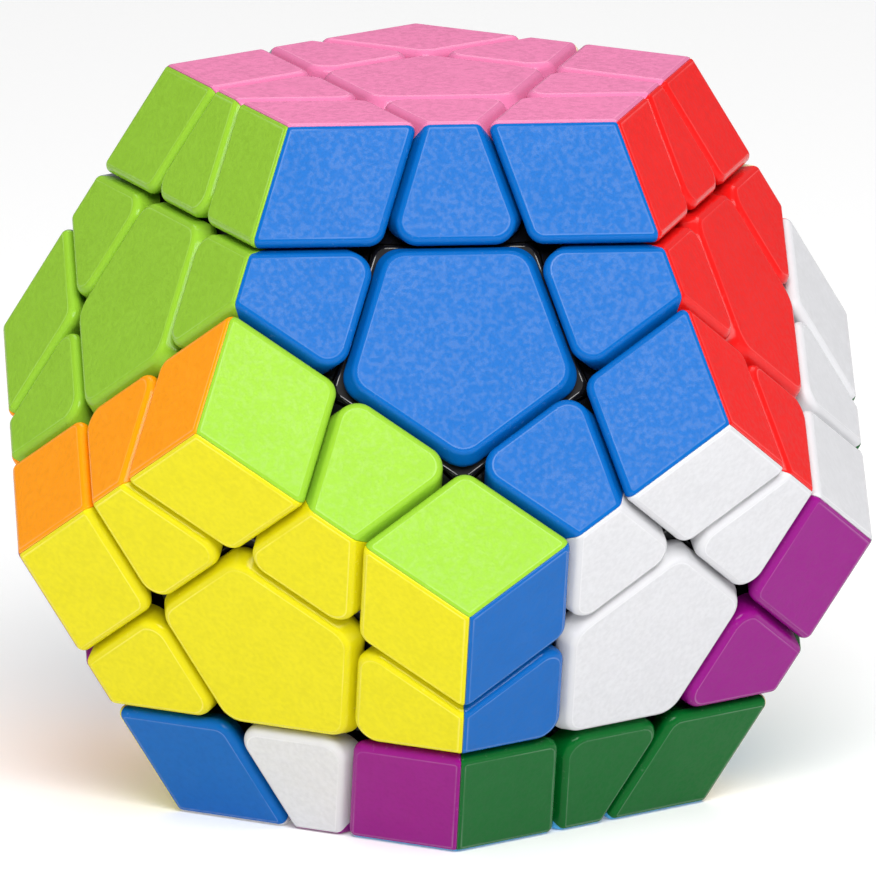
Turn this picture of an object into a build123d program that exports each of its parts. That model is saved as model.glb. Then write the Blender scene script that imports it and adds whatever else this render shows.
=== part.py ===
"""Dodecahedron twisty puzzle: a core with twelve spring-loaded centres, thirty edges and twenty
corners, each with a black base and coloured caps, cut by twelve layer boundaries."""

from build123d import *
import math
import os

# Whole puzzle, millimetres. The origin is the middle of the core, and +Z is out of the pink face.
FACE_TO_FACE = 70.0
INRADIUS = FACE_TO_FACE / 2
TILT = math.degrees(math.atan(2))  # angle between the normals of two neighbouring faces
STEP = 72.0  # one turn of a five-sided face
FRONT_AZIMUTH = -90.0  # of the upper ring's first face
LAYER_SPREAD = 45.0  # no piece of a layer is further than this from the layer's axis, in degrees

# Layer boundaries: a plane near the surface, a cone below it, a step at a sphere, a wider cone
LAYER_DEPTH = 11.15  # from a face down to the plane that frees its layer
PLANE = INRADIUS - LAYER_DEPTH
GAP = 0.30  # clearance between neighbouring pieces
HALF_GAP = GAP / 2
NECK_ANGLE = 46.0  # half angle of the cone that bounds a layer above the step
FOOT_ANGLE = 50.0  # half angle of the cone that bounds a layer below the step
STEP_RADIUS = 28.0  # sphere on which the feet slide under their neighbours
FOOT_RADIUS = 22.5  # sphere on which the feet end
NECK_TOP = 34.0  # the plane takes over from the cone here

# Caps
CAP_DEPTH = 2.6
CAP_TOP = 1.3  # plastic above the recess
CAP_WALL = 1.3
RIDGE_WALL = 0.9  # wall of a cap along an edge of the dodecahedron
FIT = 0.05  # clearance of a cap's recess round its boss
CORNER_ROUND = 1.9  # upright edges of corner and edge pieces
CENTRE_ROUND = 2.8
CENTRE_BASE_ROUND = 1.4
RIM_ROUND = 0.8
BASE_RIM_ROUND = 0.4
RIDGE_ROUND = 1.1  # along the edges of the dodecahedron
GROOVE_ROUND = 0.12  # where two caps of a piece meet
SKIN = 0.75  # least cosine between a block's outer face and the line out to it from the core

CAP_FLOOR = INRADIUS - CAP_DEPTH

# Bases are trays under the caps, with a boss inside each cap's recess
BOSS_WALL = 1.2
TRAY_WALL = CAP_WALL + FIT + BOSS_WALL
POCKET_FLOOR = 30.6  # of the ring-shaped pocket in a centre's flange
NECK_BORE = 2.6  # radius of the blind hole from a tray down into its neck
NECK_BORE_FLOOR = 24.0

# Screw, washer, spring and stalk on each face's axis, as distances from the middle of the core
STALK_RADIUS = 4.9
STALK_END = 19.6
WELL_RADIUS = 3.6
WELL_FLOOR = 24.0
SCREW_RADIUS = 1.4
SCREW_HOLE_RADIUS = 1.7
SCREW_TIP = 10.0
HEAD_RADIUS = 2.6
HEAD_SEAT = 29.9
HEAD_HEIGHT = 1.7
HEAD_SIDE = 0.8  # height of the head's straight side, under its dome
CROSS_LENGTH = 2.8
CROSS_WIDTH = 0.7
CROSS_DEPTH = 1.1
WASHER_RADIUS = 3.1
WASHER_THICKNESS = 0.4
SPRING_RADIUS = 2.6  # of the wire's centre line
WIRE_RADIUS = 0.28
SPRING_TURNS = 5
SPRING_CLEARANCE = 0.08

# Core
CORE_RADIUS = 10.5
ARM_RADIUS = 3.4
ARM_END = 19.2
BORE_RADIUS = 1.45
BORE_END = 8.5

REACH = 60.0  # beyond the whole puzzle, for tools that cut
OVERLAP = 1.0  # by which the bands of a foot and a neck run into each other
TOUCH = 1e-3  # for finding edges and faces that lie in a plane


def direction(azimuth, elevation):
    """Unit vector at an azimuth about +Z and an elevation above the XY plane, in degrees."""
    level = math.cos(math.radians(elevation))
    x = level * math.cos(math.radians(azimuth))
    y = level * math.sin(math.radians(azimuth))
    return Vector(x, y, math.sin(math.radians(elevation)))


# Solved colours, going round each ring anticlockwise as seen from above, from the front
UPPER_RING = ["blue", "red", "cream", "grey", "light_green"]
LOWER_RING = ["white", "dark_green", "light_blue", "orange", "yellow"]
FACES = {"pink": Vector(0, 0, 1), "purple": Vector(0, 0, -1)}
for turn, (upper, lower) in enumerate(zip(UPPER_RING, LOWER_RING)):
    FACES[upper] = direction(FRONT_AZIMUTH + STEP * turn, 90 - TILT)
    FACES[lower] = direction(FRONT_AZIMUTH + STEP * (turn + 0.5), TILT - 90)

# Turns made since the puzzle was solved: the face, and the angle about its outward normal
TURNS = [("yellow", -STEP), ("dark_green", -STEP), ("purple", STEP)]

# Layers that are hinged to the core; no two of them share a piece
LAYERS = {"pink_layer": "pink", "yellow_layer": "yellow", "green_layer": "dark_green"}
FRAME = "still_frame"

# One tile's own frame: its face looks along +Z, and its neighbours are at steps round it from +X
UP = Vector(0, 0, 1)
NEIGHBOURS = [direction(STEP * k, 90 - TILT) for k in range(5)]
AHEAD = NEIGHBOURS[0]
LEFT = NEIGHBOURS[1]
RIGHT = NEIGHBOURS[4]
INSIDE = PLANE + HALF_GAP  # a piece inside a layer stays above this
OUTSIDE = HALF_GAP - PLANE  # a piece outside a layer stays above this along the reversed normal


def seat(face, neighbour):
    """Location that carries a tile's own frame to a face, with +X towards a neighbour."""
    return Plane((0, 0, 0), x_dir=neighbour - face * face.dot(neighbour), z_dir=face).location


def trim(normal, distance):
    """Keep what lies beyond a distance along the normal."""
    split(bisect_by=Plane(normal * distance, z_dir=normal), keep=Keep.TOP)


def space(walls):
    """Convex solid bounded by planes, each an inward normal and a distance along it."""
    with BuildPart() as solid:
        Box(2 * REACH, 2 * REACH, 2 * REACH)
        for normal, distance in walls:
            trim(normal, distance)
    return solid.part


def walls_under(edge, walls):
    """How many of the walls, each an inward normal and a distance, an edge lies in."""
    points = [edge @ 0, edge @ 0.5, edge @ 1]
    return sum(all(abs(p.dot(n) - d) < TOUCH for p in points) for n, d in walls)


def is_skin(face):
    """Whether a face of a block is on the outside of the puzzle, its rounded ridges included."""
    centre = face.center(CenterOf.MASS)
    return face.normal_at(centre).dot(centre.normalized()) > SKIN


def block(faces, walls, corner_round, low=None):
    """Outer block of a piece, with its upright edges, ridges and rims rounded in that order."""
    ends = [(-face, -INRADIUS) for face in faces]
    floor = [(UP, low)] if low else []
    with BuildPart() as solid:
        add(space(ends + floor + walls))
        fillet([e for e in solid.edges() if walls_under(e, walls) == 2], corner_round)
        ridges = [e for e in solid.edges() if walls_under(e, ends) == 2]
        if ridges:
            fillet(ridges, RIDGE_ROUND)
        skin = [f for f in solid.faces() if is_skin(f)]
        sides = {e for f in solid.faces() if not is_skin(f) for e in f.edges()}
        fillet([e for f in skin for e in f.edges() if e in sides], RIM_ROUND)
    return solid.part


def under_tile(walls, mitres, inset, ridge_inset, low, high):
    """Space under one tile between two heights, set in from its walls and ridges."""
    sides = [(normal, distance + inset) for normal, distance in walls]
    ridges = [(normal, ridge_inset) for normal, _ in mitres]
    return space(sides + ridges + [(UP, low), (-UP, -high)])


def cap(outer, walls, mitres):
    """Coloured cap of one tile: a shell with a recess for its boss, grooved where caps meet."""
    floor = (UP, CAP_FLOOR)
    with BuildPart() as shell:
        add(outer)
        for normal, distance in [floor] + mitres:
            trim(normal, distance)
        grooves = [e for e in shell.edges() if walls_under(e, mitres) == 1]
        grooves = [e for e in grooves if not walls_under(e, [floor])]
        if grooves:
            fillet(grooves, GROOVE_ROUND)
        recess = under_tile(walls, mitres, CAP_WALL, RIDGE_WALL, 0, INRADIUS - CAP_TOP)
        add(recess, mode=Mode.SUBTRACT)
    return shell.part


def boss(walls, mitres):
    """Raised block on a base that fills the recess of a cap."""
    low = CAP_FLOOR - CAP_WALL
    high = INRADIUS - CAP_TOP - FIT
    return under_tile(walls, mitres, CAP_WALL + FIT, RIDGE_WALL + FIT, low, high)


def funnel(half_angle, offset):
    """Cone that opens along +Z from the middle of the core, its wall moved in by the offset."""
    apex = offset / math.sin(math.radians(half_angle))
    spread = REACH * math.tan(math.radians(half_angle))
    with BuildPart() as cone:
        with Locations((0, 0, apex)):
            Cone(0, spread, REACH, align=(Align.CENTER, Align.CENTER, Align.MIN))
    return cone.part


def band(inner, outer, inside, inside_angle, outside, outside_angle):
    """Part of a spherical shell inside the layers of some faces and outside those of others."""
    with BuildPart() as shell:
        Sphere(outer)
        Sphere(inner, mode=Mode.SUBTRACT)
        for face in inside:
            with Locations(Plane((0, 0, 0), z_dir=face)):
                add(funnel(inside_angle, HALF_GAP), mode=Mode.INTERSECT)
        for face in outside:
            with Locations(Plane((0, 0, 0), z_dir=face)):
                add(funnel(outside_angle, -HALF_GAP), mode=Mode.SUBTRACT)
    return shell.part


def neck_and_foot(inside, outside):
    """Hidden lower half of a corner or an edge, which hooks under its neighbours."""
    under = STEP_RADIUS - HALF_GAP
    over = STEP_RADIUS + HALF_GAP
    with BuildPart() as lower:
        add(band(FOOT_RADIUS, under, inside, FOOT_ANGLE, outside, FOOT_ANGLE))
        add(band(FOOT_RADIUS + OVERLAP, over + OVERLAP, inside, NECK_ANGLE, outside, FOOT_ANGLE))
        add(band(over, NECK_TOP, inside, NECK_ANGLE, outside, NECK_ANGLE))
    return lower.part


def base(outer, faces, walls, outside, seats, tile_boss):
    """Black base of a corner or an edge: a tray under its caps, with a hollow neck and a foot."""
    with BuildPart() as body:
        add(outer)
        for face in faces:
            trim(-face, -CAP_FLOOR)
        for face in outside:
            with Locations(Plane((0, 0, 0), z_dir=face)):
                add(funnel(NECK_ANGLE, -HALF_GAP), mode=Mode.SUBTRACT)
        add(neck_and_foot(faces, outside))
        with Locations(*seats):
            add(tile_boss)
        hollow = [(normal, distance + TRAY_WALL) for normal, distance in walls]
        add(space(hollow), mode=Mode.SUBTRACT)
        middle = Plane((0, 0, 0), z_dir=sum(faces, Vector()))
        with BuildSketch(middle.offset(NECK_BORE_FLOOR)):
            Circle(NECK_BORE)
        extrude(amount=REACH, mode=Mode.SUBTRACT)
    return body.part


def centre_base(tile_boss):
    """Black base of a centre: a five-sided flange on a round stalk, bored for its screw."""
    ends = [(-UP, -CAP_FLOOR), (UP, PLANE)]
    ring = under_tile(CENTRE_WALLS, [], TRAY_WALL, 0, POCKET_FLOOR, INRADIUS)
    with BuildPart() as body:
        add(space(ends + CENTRE_WALLS))
        upright = [e for e in body.edges() if walls_under(e, CENTRE_WALLS) == 2]
        fillet(upright, CENTRE_BASE_ROUND)
        top = body.faces().sort_by(Axis.Z)[-1]
        fillet(top.edges(), BASE_RIM_ROUND)
        for face in NEIGHBOURS:
            with Locations(Plane((0, 0, 0), z_dir=face)):
                add(funnel(NECK_ANGLE, -HALF_GAP), mode=Mode.SUBTRACT)
        Sphere(STEP_RADIUS + HALF_GAP, mode=Mode.SUBTRACT)
        add(tile_boss)
        add(ring, mode=Mode.SUBTRACT)
        with BuildSketch(Plane.XY.offset(STALK_END)):
            Circle(STALK_RADIUS)
        extrude(amount=INRADIUS - CAP_TOP - FIT - STALK_END)
        with BuildSketch(Plane.XY.offset(WELL_FLOOR)):
            Circle(WELL_RADIUS)
        extrude(amount=INRADIUS - WELL_FLOOR, mode=Mode.SUBTRACT)
        with BuildSketch(Plane.XY.offset(STALK_END)):
            Circle(SCREW_HOLE_RADIUS)
        extrude(amount=WELL_FLOOR - STALK_END, mode=Mode.SUBTRACT)
    return body.part


def screw():
    """Self-tapping screw with a domed head and a cross recess, along +Z."""
    top = HEAD_SEAT + HEAD_HEIGHT
    with BuildPart() as body:
        with BuildSketch(Plane.XZ):
            with BuildLine():
                Polyline(
                    (0, top),
                    (0, SCREW_TIP),
                    (SCREW_RADIUS, SCREW_TIP + 2 * SCREW_RADIUS),
                    (SCREW_RADIUS, HEAD_SEAT),
                    (HEAD_RADIUS, HEAD_SEAT),
                    (HEAD_RADIUS, HEAD_SEAT + HEAD_SIDE),
                )
                TangentArc((0, top), (HEAD_RADIUS, HEAD_SEAT + HEAD_SIDE), tangent=(1, 0))
            make_face()
        revolve(axis=Axis.Z)
        with BuildSketch(Plane.XY.offset(top)):
            Rectangle(CROSS_LENGTH, CROSS_WIDTH)
            Rectangle(CROSS_WIDTH, CROSS_LENGTH)
        extrude(amount=-CROSS_DEPTH, mode=Mode.SUBTRACT)
    return body.part


def washer():
    """Flat washer between a screw's head and its spring."""
    with BuildPart() as body:
        with BuildSketch(Plane.XY.offset(HEAD_SEAT - WASHER_THICKNESS)):
            Circle(WASHER_RADIUS)
            Circle(SCREW_HOLE_RADIUS, mode=Mode.SUBTRACT)
        extrude(amount=WASHER_THICKNESS)
    return body.part


def spring():
    """Compression spring with ends ground flat, between a well's floor and its washer."""
    low = WELL_FLOOR + SPRING_CLEARANCE
    high = HEAD_SEAT - WASHER_THICKNESS
    height = high - low
    with BuildPart() as body:
        with BuildLine() as path:
            Helix(height / SPRING_TURNS, height, SPRING_RADIUS, center=(0, 0, low))
        with BuildSketch(Plane(path.line @ 0, z_dir=path.line % 0)):
            Circle(WIRE_RADIUS)
        sweep(is_frenet=True)
        trim(UP, low)
        trim(-UP, -high)
    return body.part


def core(places):
    """Ball with a hollow arm for each face's screw."""
    with BuildPart() as body:
        Sphere(CORE_RADIUS)
        for place in places:
            with BuildSketch(Plane(place)):
                Circle(ARM_RADIUS)
            extrude(amount=ARM_END)
        for place in places:
            with BuildSketch(Plane(place).offset(BORE_END)):
                Circle(BORE_RADIUS)
            extrude(amount=REACH, mode=Mode.SUBTRACT)
    return body.part


def holds(anchor, face):
    """Whether the piece in the anchor's direction belongs to the face's layer."""
    return anchor.dot(FACES[face]) > anchor.length * math.cos(math.radians(LAYER_SPREAD))


def body_of(anchor):
    """Name of the moving layer, or of the still frame, that the piece belongs to."""
    layers = [layer for layer, face in LAYERS.items() if holds(anchor, face)]
    return layers[0] if layers else FRAME


def colour_of(anchor, outward):
    """Colour of a tile, found by taking the turns back to the solved puzzle."""
    for face, angle in reversed(TURNS):
        if holds(anchor, face):
            axis = Axis((0, 0, 0), FACES[face])
            anchor = anchor.rotate(axis, -angle)
            outward = outward.rotate(axis, -angle)
    return max(FACES, key=lambda face: FACES[face].dot(outward))


def write(name, solids):
    """Write one node that holds copies of some solids, given with their places."""
    with BuildPart() as node:
        for solid, places in solids:
            with Locations(*places):
                add(solid)
    node.part.label = name
    export_step(node.part, f"parts/{name}.step", write_pcurves=False)


def mitre(other):
    """Wall halfway between the tile's own face and a neighbouring one."""
    return (UP - other).normalized(), 0


def faces_round(face, neighbour):
    """Name of the face that meets both, anticlockwise from the neighbour as seen from outside."""
    turned = FACES[face].cross(FACES[neighbour])
    meeting = [n for n in FACES if touches(n, face) and touches(n, neighbour)]
    return max(meeting, key=lambda name: FACES[name].dot(turned))


def touches(face, other):
    """Whether two faces share an edge of the dodecahedron."""
    return abs(FACES[face].dot(FACES[other]) - math.cos(math.radians(TILT))) < TOUCH


CORNER_WALLS = [(UP, INSIDE), (AHEAD, INSIDE), (LEFT, INSIDE)]
EDGE_WALLS = [(UP, INSIDE), (AHEAD, INSIDE), (-LEFT, OUTSIDE), (-RIGHT, OUTSIDE)]
CENTRE_WALLS = [(-face, OUTSIDE) for face in NEIGHBOURS]

corner_faces = [UP, AHEAD, LEFT]
corner_block = block(corner_faces, CORNER_WALLS, CORNER_ROUND)
corner_mitres = [mitre(AHEAD), mitre(LEFT)]
corner_cap = cap(corner_block, CORNER_WALLS[1:], corner_mitres)
corner_seats = [seat(UP, AHEAD), seat(AHEAD, LEFT), seat(LEFT, UP)]
corner_boss = boss(CORNER_WALLS[1:], corner_mitres)
corner_base = base(corner_block, corner_faces, CORNER_WALLS, [], corner_seats, corner_boss)

edge_faces = [UP, AHEAD]
edge_block = block(edge_faces, EDGE_WALLS, CORNER_ROUND)
edge_mitres = [mitre(AHEAD)]
edge_cap = cap(edge_block, EDGE_WALLS[1:], edge_mitres)
edge_seats = [seat(UP, AHEAD), seat(AHEAD, UP)]
edge_boss = boss(EDGE_WALLS[1:], edge_mitres)
edge_base = base(edge_block, edge_faces, EDGE_WALLS, [LEFT, RIGHT], edge_seats, edge_boss)

centre_block = block([UP], CENTRE_WALLS, CENTRE_ROUND, low=CAP_FLOOR)
centre_cap = cap(centre_block, CENTRE_WALLS, [])
centre_piece = centre_base(boss(CENTRE_WALLS, []))

# Where every tile and piece goes, by the body that it turns with
caps = {}
bases = {}
centres = {}
for name, normal in FACES.items():
    ring = [other for other in FACES if touches(name, other)]
    centres[name] = seat(normal, FACES[ring[0]])
    bases.setdefault((body_of(normal), "centre"), []).append(centres[name])
    for other in ring:
        third = faces_round(name, other)
        place = seat(normal, FACES[other])
        edge = normal + FACES[other]
        corner = edge + FACES[third]
        for kind, anchor in [("edge", edge), ("corner", corner)]:
            group = caps.setdefault((body_of(anchor), colour_of(anchor, normal)), {})
            group.setdefault(kind, []).append(place)
        if name < other:
            bases.setdefault((body_of(edge), "edge"), []).append(place)
        if name < min(other, third):
            bases.setdefault((body_of(corner), "corner"), []).append(place)

os.makedirs("parts", exist_ok=True)

cap_of_kind = {"corner": corner_cap, "edge": edge_cap}
for (body, colour), group in caps.items():
    write(f"{colour}_caps_{body}", [(cap_of_kind[kind], group[kind]) for kind in group])

base_of_kind = {"corner": corner_base, "edge": edge_base, "centre": centre_piece}
for (body, kind), places in bases.items():
    write(f"{kind}_bases_{body}", [(base_of_kind[kind], places)])

for colour, place in centres.items():
    write(f"{colour}_centre_cap", [(centre_cap, [place])])

places = list(centres.values())
write("core", [(core(places), [Location()])])
write("centre_screws", [(screw(), places)])
write("screw_washers", [(washer(), places)])
write("centre_springs", [(spring(), places)])
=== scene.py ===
import math

import bmesh
import bpy
from mathutils import Matrix, Vector


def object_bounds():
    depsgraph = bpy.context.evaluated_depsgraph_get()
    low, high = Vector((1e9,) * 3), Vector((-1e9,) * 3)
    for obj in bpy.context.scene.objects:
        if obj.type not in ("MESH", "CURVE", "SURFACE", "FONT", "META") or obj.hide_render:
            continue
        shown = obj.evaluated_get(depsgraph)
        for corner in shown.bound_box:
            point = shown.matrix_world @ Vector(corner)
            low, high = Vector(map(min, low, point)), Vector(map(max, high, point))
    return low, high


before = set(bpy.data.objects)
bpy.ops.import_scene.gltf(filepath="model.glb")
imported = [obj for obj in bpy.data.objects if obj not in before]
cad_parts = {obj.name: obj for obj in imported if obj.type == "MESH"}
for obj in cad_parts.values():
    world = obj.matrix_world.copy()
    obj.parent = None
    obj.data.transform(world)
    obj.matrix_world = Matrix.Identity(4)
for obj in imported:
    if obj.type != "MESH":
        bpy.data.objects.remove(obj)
cad_low, cad_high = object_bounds()

# The dodecahedron, in metres and degrees. Its top face is level, and one upper side face looks toward -Y.
FACE_RADIUS = cad_high.z  # from the middle of the puzzle to a face
FACE_LEAN = math.degrees(math.atan(0.5))  # how far an upper side face looks up
STEP = 72  # from one upper side face to the next
RIM_DROP = 0.0002  # a rim that is further below its face than this isn't part of the field

# Where a flat field fades into its rounded rim, as the surface's turn from the face, in degrees.
TILE_FADE = (0.6, 14.0)
BASE_FADE = (0.2, 0.8)

# The twelve coloured plastics, as linear base colours, under the first words of their nodes' names.
COLOURS = {
    "pink": (0.72, 0.190, 0.375),
    "purple": (0.260, 0.004, 0.200),
    "blue": (0.001, 0.112, 0.415),
    "red": (0.76, 0.010, 0.009),
    "cream": (0.80, 0.70, 0.42),
    "grey": (0.24, 0.27, 0.29),
    "light_green": (0.268, 0.515, 0.030),
    "white": (0.64, 0.64, 0.66),
    "dark_green": (0.001, 0.112, 0.016),
    "light_blue": (0.085, 0.42, 0.76),
    "orange": (0.95, 0.315, 0.002),
    "yellow": (0.715, 0.64, 0.005),
}
BLACK = (0.006, 0.006, 0.007, 1)
DUST_GREY = (0.022, 0.021, 0.021, 1)
DULL_STEEL = (0.50, 0.50, 0.52, 1)
BRIGHT_STEEL = (0.68, 0.68, 0.70, 1)
DULL_FIBRE = (0.86, 0.86, 0.86, 1)
BRIGHT_FIBRE = (0.90, 0.90, 0.90, 1)
WHITE = (1, 1, 1, 1)

# Tones of a tile's colour: a gain, and then how far the result is moved to white.
DARK_FROST = (0.955, 0)
# The pale frost's small move to white is painted sheen.
PALE_SHEENED_FROST = (1.035, 0.006)
CLEAN_RIM = (0.97, 0)
SCUFFED_RIM = (1.05, 0.12)
# The last tone is for a pale line painted along the inner edge of each rim: a painted highlight, and also
# wear.
HIGHLIT_WORN_EDGE = (1.15, 0.22)

# Noises: features per metre, octaves of detail, and how strong each octave is next to the one before.
GRAIN = (1900, 1, 0.5)
SPARKLE = (4500, 2, 0.5)
MOTTLE = (420, 3, 0.5)
SMUDGES = (95, 2, 0.5)
SCUFFS = (1500, 4, 0.7)
DUST = (1900, 4, 0.65)
DRAWING_MARKS = (4500, 3, 0.6)
DULL_PATCHES = (420, 2, 0.5)
FIBRES = (900, 4, 0.6)

# The spans of noise over which a mark goes from its least to its most.
TONE_SPAN = (0.50, 0.90)
# The span just below is for the pale line along the rims' inner edges, which is painted highlight and
# wear.
WEAR_AND_HIGHLIGHT_SPAN = (0.35, 0.60)
SCUFF_SPAN = (0.60, 0.72)
GRAIN_SPAN = (0.36, 0.64)
SMUDGE_SPAN = (0.30, 0.70)
RIM_SPAN = (0.35, 0.65)
DUST_SPAN = (0.60, 0.78)
STEEL_SPAN = (0.6, 1.4)

# How much of a mark shows, or its least and its most.
MOTTLE_SHARE = 0.4
SPARKLE_SHARE = 0.5
SCUFF_SHARE = 0.22
# The shares just below are for that same pale line of painted highlight and wear.
WEAR_AND_HIGHLIGHT_SHARES = (0.5, 1.5)
DUST_SHARES = (0, 0.35)

# Roughness, where its noise is least and where it is most. What is ADDED comes on top of the line above.
FIELD_ROUGHNESS = (0.30, 0.36)
ADDED_BY_GRAIN = (0, 0.26)
RIM_ROUGHNESS = (0.16, 0.23)
ADDED_BY_SCUFFS = 0.12
BLACK_ROUGHNESS = (0.12, 0.22)
ADDED_ON_FLATS = 0.68
STEEL_ROUGHNESS = (0.20, 0.42)
PAPER_ROUGHNESS = 0.9

# Reliefs: a strength, and a depth in metres.
WAVE_RELIEF = (0.12, 0.00004)
FROST_RELIEF = (0.3, 0.00004)
BLACK_RELIEF = (0.3, 0.00003)
STEEL_RELIEF = (0.25, 0.00002)
PAPER_RELIEF = (0.1, 0.0001)

# Mirror-like reflection off what isn't metal, where 0.5 is ordinary plastic.
TILE_SPECULAR = 0.14
BLACK_SPECULAR = 0.5
PAPER_SPECULAR = 0.1

# The studio, in metres and degrees, with the lens and the sensor in millimetres.
WORLD_STRENGTH = 0.185
BACKDROP_STRENGTH = 0.95
PAPER_GLOW = 0.16
FLOOR_SIDE = 2.0
FLOOR_DROP = 0.00002
CAMERA_AZIMUTH = -4.27
CAMERA_ELEVATION = 12.66
CAMERA_DISTANCE = 1.786
CAMERA_RANGE = (0.1, 30.0)
LENS_MM = 762.5
SENSOR_MM = 36.0
AIM_RIGHT = 0.00022
AIM_UP = -0.00047


def toward(azimuth, elevation):
    """The direction at this azimuth, 0 on the -Y side and 90 on the +X side, and elevation."""
    around, up = math.radians(azimuth), math.radians(elevation)
    return Vector((math.sin(around) * math.cos(up), -math.cos(around) * math.cos(up), math.sin(up)))


def face_axes():
    """One unit vector along each of the six lines that join opposite faces."""
    return [Vector((0, 0, 1))] + [toward(STEP * turn, FACE_LEAN) for turn in range(5)]


# Materials


def fill(tree, socket, value):
    """Gives an input its value: a number, a colour, or another node's output."""
    if isinstance(value, bpy.types.NodeSocket):
        tree.links.new(value, socket)
    else:
        socket.default_value = value


def node(tree, kind, inputs=None, **settings):
    """A new shader node."""
    made = tree.nodes.new(kind)
    for name, value in settings.items():
        setattr(made, name, value)
    for name, value in (inputs or {}).items():
        fill(tree, made.inputs[name], value)
    return made


def maths(tree, operation, first, second=0):
    """The output of a Math node."""
    return node(tree, "ShaderNodeMath", {0: first, 1: second}, operation=operation).outputs[0]


def noise(tree, place, recipe):
    """The 0 to 1 output of a Noise Texture at this place."""
    scale, detail, roughness = recipe
    inputs = {"Vector": place, "Scale": scale, "Detail": detail, "Roughness": roughness}
    return node(tree, "ShaderNodeTexNoise", inputs).outputs["Fac"]


def between(tree, value, span, results, smooth=True):
    """value, moved from one span of numbers to another, and held at their ends."""
    kind = "SMOOTHSTEP" if smooth else "LINEAR"
    inputs = {"Value": value, "From Min": span[0], "From Max": span[1]}
    inputs.update({"To Min": results[0], "To Max": results[1]})
    return node(tree, "ShaderNodeMapRange", inputs, interpolation_type=kind).outputs["Result"]


def blend_colours(tree, factor, first, second):
    """The colour between two colours."""
    made = node(tree, "ShaderNodeMix", {"Factor": factor}, data_type="RGBA")
    fill(tree, made.inputs[6], first)  # its inputs for colours come after those for numbers and vectors
    fill(tree, made.inputs[7], second)
    return made.outputs[2]


def bump(tree, height, relief, below=None):
    """The normal of a surface with this relief, on top of the relief below."""
    strength, depth = relief
    inputs = {"Height": height, "Strength": strength, "Distance": depth}
    if below is not None:
        inputs["Normal"] = below
    return node(tree, "ShaderNodeBump", inputs).outputs["Normal"]


def shade(colour, tone):
    """The colour in one of its tones."""
    gain, whiten = tone
    return tuple(min(1.0, c * gain * (1 - whiten) + whiten) for c in colour) + (1.0,)


def new_material(name):
    """A material with an empty tree, the tree, and outputs with the object's coordinates and normal."""
    material = bpy.data.materials.new(name)
    material.use_nodes = True
    tree = material.node_tree
    tree.nodes.clear()
    return material, tree, node(tree, "ShaderNodeTexCoord").outputs


def cover(tree, inputs):
    """Ends a material's tree with its shader and its output."""
    shader = node(tree, "ShaderNodeBsdfPrincipled", inputs)
    node(tree, "ShaderNodeOutputMaterial", {"Surface": shader.outputs[0]})


def reach(tree, vector):
    """How far a vector goes along whichever line between opposite faces it goes furthest along."""
    furthest = 0
    for axis in face_axes():
        inputs = {0: vector, 1: axis}
        along = node(tree, "ShaderNodeVectorMath", inputs, operation="DOT_PRODUCT")
        furthest = maths(tree, "MAXIMUM", furthest, maths(tree, "ABSOLUTE", along.outputs["Value"]))
    return furthest


def flat_field(tree, normal, fade):
    """1 on the surfaces that are parallel to a face of the dodecahedron, and 0 on rims and walls."""
    core, edge = (math.cos(math.radians(turn)) for turn in fade)
    return between(tree, reach(tree, normal), (edge, core), (0, 1))


def tile_colour(tree, colour, field, grain, mottle, smudges, scuffs):
    """A mottled field with a little painted sheen, in a darker, scuffed rim, with a pale line where the
    two meet that is a painted highlight and also wear.
    """
    blotches = maths(tree, "ADD", grain, maths(tree, "MULTIPLY", mottle, MOTTLE_SHARE))
    tone = between(tree, blotches, TONE_SPAN, (0, 1), smooth=False)
    # The pale end of the field's random tone is moved a little to white: painted sheen.
    frosted = blend_colours(tree, tone, shade(colour, DARK_FROST), shade(colour, PALE_SHEENED_FROST))
    scuffed = maths(tree, "MULTIPLY", scuffs, SCUFF_SHARE)
    rim = blend_colours(tree, scuffed, shade(colour, CLEAN_RIM), shade(colour, SCUFFED_RIM))
    moulded = blend_colours(tree, field, rim, frosted)
    # A pale line painted where the field meets the rim: a painted highlight, and also wear.
    edge = maths(tree, "MULTIPLY", field, maths(tree, "SUBTRACT", 1, field))
    worn_and_highlit = maths(tree, "MULTIPLY", edge, between(tree, smudges, WEAR_AND_HIGHLIGHT_SPAN, WEAR_AND_HIGHLIGHT_SHARES))
    return blend_colours(tree, worn_and_highlit, moulded, shade(colour, HIGHLIT_WORN_EDGE))


def tile_roughness(tree, field, grain, smudges, scuffs):
    """A frosted field in a glossy rim, where the scuffs are duller."""
    grained = between(tree, grain, GRAIN_SPAN, ADDED_BY_GRAIN, smooth=False)
    frosted = maths(tree, "ADD", grained, between(tree, smudges, SMUDGE_SPAN, FIELD_ROUGHNESS))
    scuffed = maths(tree, "MULTIPLY", scuffs, ADDED_BY_SCUFFS)
    rim = maths(tree, "ADD", between(tree, smudges, RIM_SPAN, RIM_ROUGHNESS), scuffed)
    step = maths(tree, "SUBTRACT", frosted, rim)
    return maths(tree, "ADD", rim, maths(tree, "MULTIPLY", step, field))


def tile_relief(tree, place, field, grain, mottle):
    """The fine grain of the frost, over the slow waviness of a moulded surface."""
    sparkle = maths(tree, "MULTIPLY", noise(tree, place, SPARKLE), SPARKLE_SHARE)
    frost = maths(tree, "MULTIPLY", maths(tree, "ADD", grain, sparkle), field)
    return bump(tree, frost, FROST_RELIEF, below=bump(tree, mottle, WAVE_RELIEF))


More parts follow.
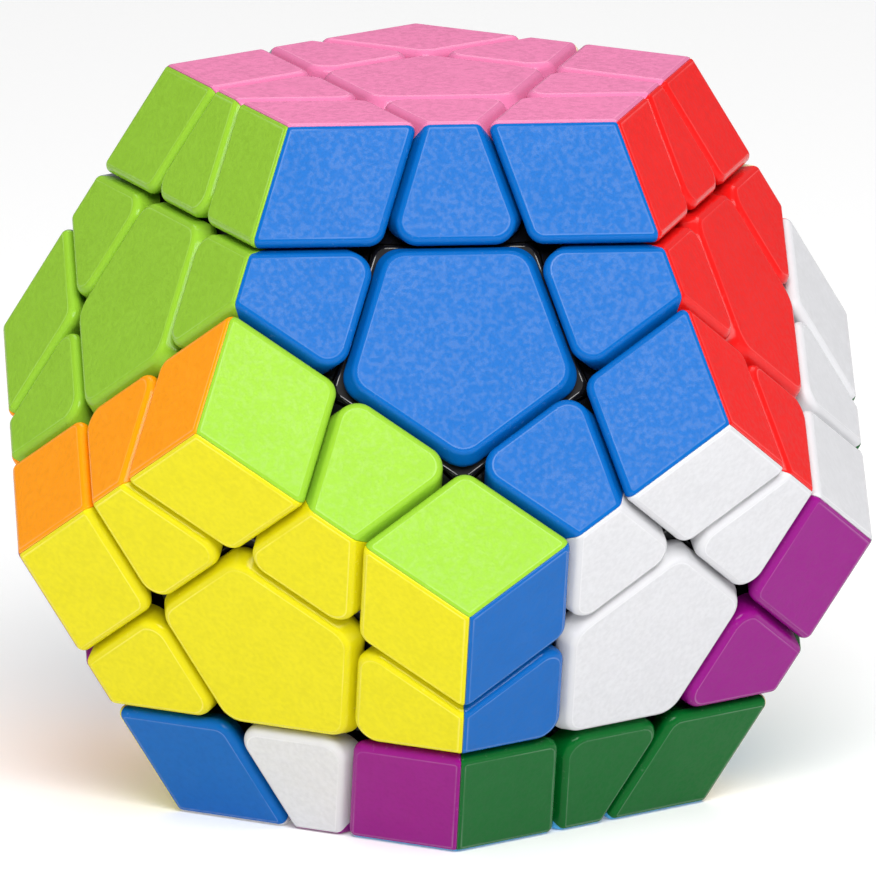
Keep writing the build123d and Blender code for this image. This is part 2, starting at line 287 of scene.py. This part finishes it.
def tile_plastic(name, colour):
    """Moulded plastic: a frosted, faintly mottled field with a little painted sheen inside a smooth,
    glossy, lightly worn rim, with a painted highlight and wear along the rim's inner edge.
    """
    material, tree, coordinates = new_material(name)
    place = coordinates["Object"]
    grain = noise(tree, place, GRAIN)
    mottle = noise(tree, place, MOTTLE)
    smudges = noise(tree, place, SMUDGES)
    scuffs = between(tree, noise(tree, place, SCUFFS), SCUFF_SPAN, (0, 1))
    outermost = (FACE_RADIUS - RIM_DROP, FACE_RADIUS - RIM_DROP / 2)
    outside = between(tree, reach(tree, place), outermost, (0, 1))
    field = maths(tree, "MULTIPLY", flat_field(tree, coordinates["Normal"], TILE_FADE), outside)
    inputs = {
        "Base Color": tile_colour(tree, colour, field, grain, mottle, smudges, scuffs),
        "Roughness": tile_roughness(tree, field, grain, smudges, scuffs),
        "Normal": tile_relief(tree, place, field, grain, mottle),
        "Specular IOR Level": TILE_SPECULAR,
    }
    cover(tree, inputs)
    return material


def black_plastic():
    """The black plastic of the bases and the core: matt flats, glossy rims and walls, and some dust."""
    material, tree, coordinates = new_material("black_plastic")
    place = coordinates["Object"]
    flat = flat_field(tree, coordinates["Normal"], BASE_FADE)
    mottle = noise(tree, place, MOTTLE)
    dust = between(tree, noise(tree, place, DUST), DUST_SPAN, DUST_SHARES)
    glossy = between(tree, mottle, SMUDGE_SPAN, BLACK_ROUGHNESS)
    inputs = {
        "Base Color": blend_colours(tree, dust, BLACK, DUST_GREY),
        "Roughness": maths(tree, "ADD", glossy, maths(tree, "MULTIPLY", flat, ADDED_ON_FLATS)),
        "Normal": bump(tree, mottle, BLACK_RELIEF),
        "Specular IOR Level": BLACK_SPECULAR,
    }
    cover(tree, inputs)
    return material


def steel():
    """The plated steel of the screws, washers and springs, with drawing marks and dull patches."""
    material, tree, coordinates = new_material("steel_plated")
    place = coordinates["Object"]
    marks = noise(tree, place, DRAWING_MARKS)
    patches = noise(tree, place, DULL_PATCHES)
    inputs = {
        "Base Color": blend_colours(tree, patches, DULL_STEEL, BRIGHT_STEEL),
        "Metallic": 1,
        "Roughness": between(tree, maths(tree, "ADD", marks, patches), STEEL_SPAN, STEEL_ROUGHNESS),
        "Normal": bump(tree, marks, STEEL_RELIEF),
    }
    cover(tree, inputs)
    return material


def pale_paper():
    """The matt white sheet that the puzzle stands on."""
    material, tree, coordinates = new_material("pale_sheet")
    fibres = noise(tree, coordinates["Object"], FIBRES)
    inputs = {
        "Base Color": blend_colours(tree, fibres, DULL_FIBRE, BRIGHT_FIBRE),
        "Roughness": PAPER_ROUGHNESS,
        "Normal": bump(tree, fibres, PAPER_RELIEF),
        "Specular IOR Level": PAPER_SPECULAR,
        "Emission Color": WHITE,
        "Emission Strength": PAPER_GLOW,
    }
    cover(tree, inputs)
    return material


def dress(nodes):
    """Gives every node of the frame its finish."""
    plastics = {name: tile_plastic(name + "_tile_plastic", colour) for name, colour in COLOURS.items()}
    black = black_plastic()
    metal = steel()
    for name, piece in nodes.items():
        colour = name.partition("_centre_cap")[0].partition("_caps_")[0]
        if colour in plastics:
            finish = plastics[colour]
        elif name == "core" or "_bases_" in name:
            finish = black
        else:
            finish = metal
        for slot in piece.material_slots:
            slot.material = finish


# Studio


def make_floor():
    """A large pale sheet just under the object."""
    mesh = bpy.data.meshes.new("floor")
    form = bmesh.new()
    bmesh.ops.create_grid(form, x_segments=8, y_segments=8, size=FLOOR_SIDE / 2)
    form.to_mesh(mesh)
    form.free()
    floor = bpy.data.objects.new("floor", mesh)
    floor.location = (0, 0, cad_low.z - FLOOR_DROP)
    floor.data.materials.append(pale_paper())
    bpy.context.scene.collection.objects.link(floor)


def make_world():
    """An even white surround, which looks brighter than the light it gives."""
    world = bpy.data.worlds.new("studio")
    world.use_nodes = True
    tree = world.node_tree
    seen = node(tree, "ShaderNodeLightPath").outputs["Is Camera Ray"]
    strengths = (WORLD_STRENGTH, BACKDROP_STRENGTH)
    background = tree.nodes["Background"]
    fill(tree, background.inputs["Color"], WHITE)
    fill(tree, background.inputs["Strength"], between(tree, seen, (0, 1), strengths, smooth=False))
    bpy.context.scene.world = world


def softbox(name, azimuth, elevation, distance, width, height, power):
    """An area light that faces the middle of the object, with its power in watts."""
    light = bpy.data.lights.new(name, "AREA")
    light.shape = "RECTANGLE"
    light.size = width
    light.size_y = height
    light.energy = power
    lamp = bpy.data.objects.new(name, light)
    back = toward(azimuth, elevation)
    turned = back.to_track_quat("Z", "Y").to_matrix().to_4x4()
    lamp.matrix_world = Matrix.Translation(back * distance) @ turned
    bpy.context.scene.collection.objects.link(lamp)


def make_lights():
    """A key that the front face mirrors to the camera, two side fills, and a top and a back light."""
    softbox("key", azimuth=4, elevation=41, distance=0.75, width=0.50, height=0.36, power=6.6)
    softbox("left", azimuth=-72, elevation=18, distance=1.0, width=0.7, height=0.7, power=1.1)
    softbox("right", azimuth=64, elevation=20, distance=1.0, width=0.7, height=0.7, power=0.85)
    softbox("top", azimuth=0, elevation=88, distance=1.6, width=1.8, height=1.8, power=4.5)
    softbox("back", azimuth=170, elevation=50, distance=1.3, width=1.0, height=0.8, power=5.1)


def make_camera():
    """A long lens, aimed almost at the middle of the object."""
    data = bpy.data.cameras.new("camera")
    data.sensor_width = SENSOR_MM
    data.lens = LENS_MM
    data.clip_start, data.clip_end = CAMERA_RANGE
    data.dof.use_dof = False
    camera = bpy.data.objects.new("camera", data)
    back = toward(CAMERA_AZIMUTH, CAMERA_ELEVATION)
    right = Vector((0, 0, 1)).cross(back).normalized()
    aim = right * AIM_RIGHT + back.cross(right) * AIM_UP
    camera.location = aim + back * CAMERA_DISTANCE
    camera.rotation_mode = "QUATERNION"
    camera.rotation_quaternion = back.to_track_quat("Z", "Y")
    bpy.context.scene.collection.objects.link(camera)
    bpy.context.scene.camera = camera


dress(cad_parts)
make_floor()
make_world()
make_lights()
make_camera()
bpy.context.scene.view_settings.view_transform = "Standard"
